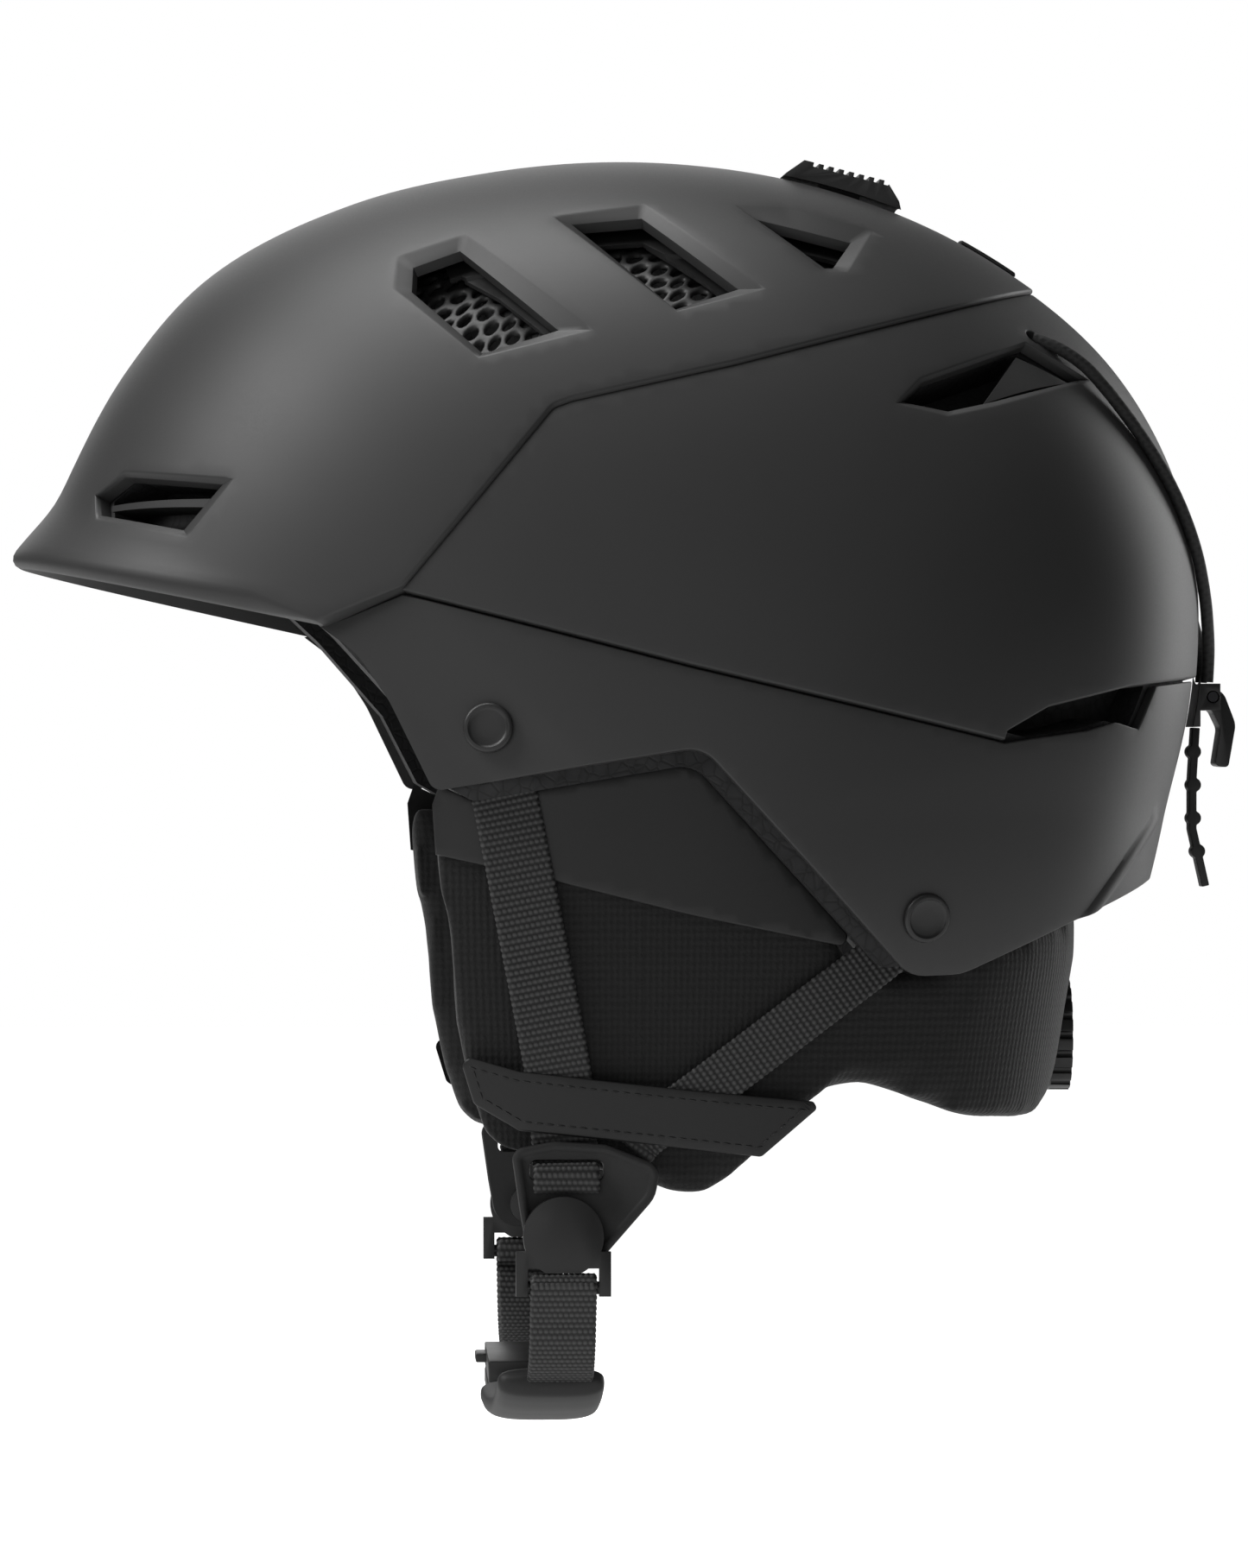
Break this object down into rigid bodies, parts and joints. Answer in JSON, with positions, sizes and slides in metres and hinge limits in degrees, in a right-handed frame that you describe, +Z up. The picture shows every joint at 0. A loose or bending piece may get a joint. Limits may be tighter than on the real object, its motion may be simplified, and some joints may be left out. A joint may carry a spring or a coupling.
{
  "type": "ski helmet",
  "caption": "Hard-shell ski helmet with flared brim, slider vents, ear and neck pad, fit dial at the nape, chin strap and a rear clip for a goggle strap.",
  "frame": {"origin": "middle of the head, at headband height, in the plane of symmetry", "axes": "+X to the back of the head, -X to the brim, -Y to the left ear of the wearer, +Z up"},
  "size_m": [0.2959, 0.2166, 0.3016],
  "materials": {
    "matte_shell": "matte moulded, fine grain",
    "satin_trim": "satin moulded",
    "eps_foam": "moulded bead foam, black",
    "lattice": "matte moulded",
    "slider": "matte moulded, ribbed",
    "knit": "knitted",
    "smooth_facing": "smooth coated fabric",
    "comfort_pad": "brushed knit over foam",
    "webbing": "woven polyester webbing",
    "yoke": "soft moulded",
    "hardware": "moulded acetal",
    "screw": "zinc plated",
    "elastic": "braided elastic cord",
    "rubber_strap": "moulded rubber",
    "fit_system": "matte moulded nylon"
  },
  "bodies": {
    "helmet": {"crown_shell": "matte_shell", "side_shell": "matte_shell", "lower_shell": "matte_shell", "foam_liner": "eps_foam", "vent_grille_left": "lattice", "vent_grille_right": "lattice", "brow_louvre_left": "satin_trim", "brow_louvre_right": "satin_trim", "rear_deflector_left": "satin_trim", "rear_deflector_right": "satin_trim", "crown_trim": "satin_trim", "ear_neck_pad": "knit", "ear_panel_left": "smooth_facing", "ear_panel_right": "smooth_facing", "ear_band_left": "smooth_facing", "ear_band_right": "smooth_facing", "front_webbing_left": "webbing", "front_webbing_right": "webbing", "rear_webbing_left": "webbing", "rear_webbing_right": "webbing", "yoke_left": "yoke", "yoke_right": "yoke", "anchor_caps": "hardware", "anchor_plates": "hardware", "anchor_screws": "screw", "brow_pad": "comfort_pad", "crown_pad": "comfort_pad", "rear_pad": "comfort_pad", "side_pad_left": "comfort_pad", "side_pad_right": "comfort_pad", "headband_strip": "fit_system", "clip_base": "hardware", "ladder_strap": "rubber_strap", "goggle_cord_left": "elastic", "goggle_cord_right": "elastic"},
    "vent_slider": {"vent_knob": "slider", "shutter_bridge": "slider", "vent_shutter_left": "slider", "vent_shutter_right": "slider"},
    "fit_band": {"fit_cradle": "fit_system", "dial_housing": "fit_system", "cradle_pad_left": "comfort_pad", "cradle_pad_right": "comfort_pad"},
    "fit_dial": {"dial_knob": "hardware", "dial_pinion": "fit_system"},
    "goggle_clip": {"goggle_hook": "hardware", "hook_pin": "screw"},
    "strap_swing": {"pivot_disc_left": "hardware", "pivot_disc_right": "hardware", "chin_webbing_right": "webbing", "buckle_female": "hardware"},
    "chin_strap": {"chin_webbing_left": "webbing", "chin_guard": "rubber_strap", "buckle_male": "hardware"},
    "release_button": {"buckle_button": "satin_trim"}
  },
  "joints": [
    {"name": "vent_slide", "type": "hinge", "parent": "helmet", "child": "vent_slider", "pos_m": [-0.006, 0, -0.079], "axis": [0, 1, 0], "range_deg": [-4.1, 0]},
    {"name": "fit_tighten", "type": "slide", "parent": "helmet", "child": "fit_band", "axis": [-1, 0, 0], "range_m": [0, 0.008]},
    {"name": "dial_turn", "type": "hinge", "parent": "fit_band", "child": "fit_dial", "pos_m": [0.094, 0, -0.091], "axis": [1, 0, 0], "range_deg": [0, 300]},
    {"name": "hook_flip", "type": "hinge", "parent": "helmet", "child": "goggle_clip", "pos_m": [0.1316, 0, -0.0098], "axis": [0, -1, 0], "range_deg": [0, 80], "stiffness_Nm_per_rad": 0.005},
    {"name": "chin_swing", "type": "hinge", "parent": "helmet", "child": "strap_swing", "pos_m": [-0.029, 0, -0.1356], "axis": [0, 1, 0], "range_deg": [-35, 60]},
    {"name": "buckle_open", "type": "hinge", "parent": "strap_swing", "child": "chin_strap", "pos_m": [-0.029, -0.0965, -0.1474], "axis": [-1, 0, 0], "range_deg": [0, 75]},
    {"name": "button_press", "type": "slide", "parent": "strap_swing", "child": "release_button", "axis": [1, 0, 0], "range_m": [0, 0.0025], "stiffness_N_per_m": 200}
  ],
  "couplings": [
    {"joint": "dial_turn", "follows": "fit_tighten", "rad_per_m": 650}
  ]
}
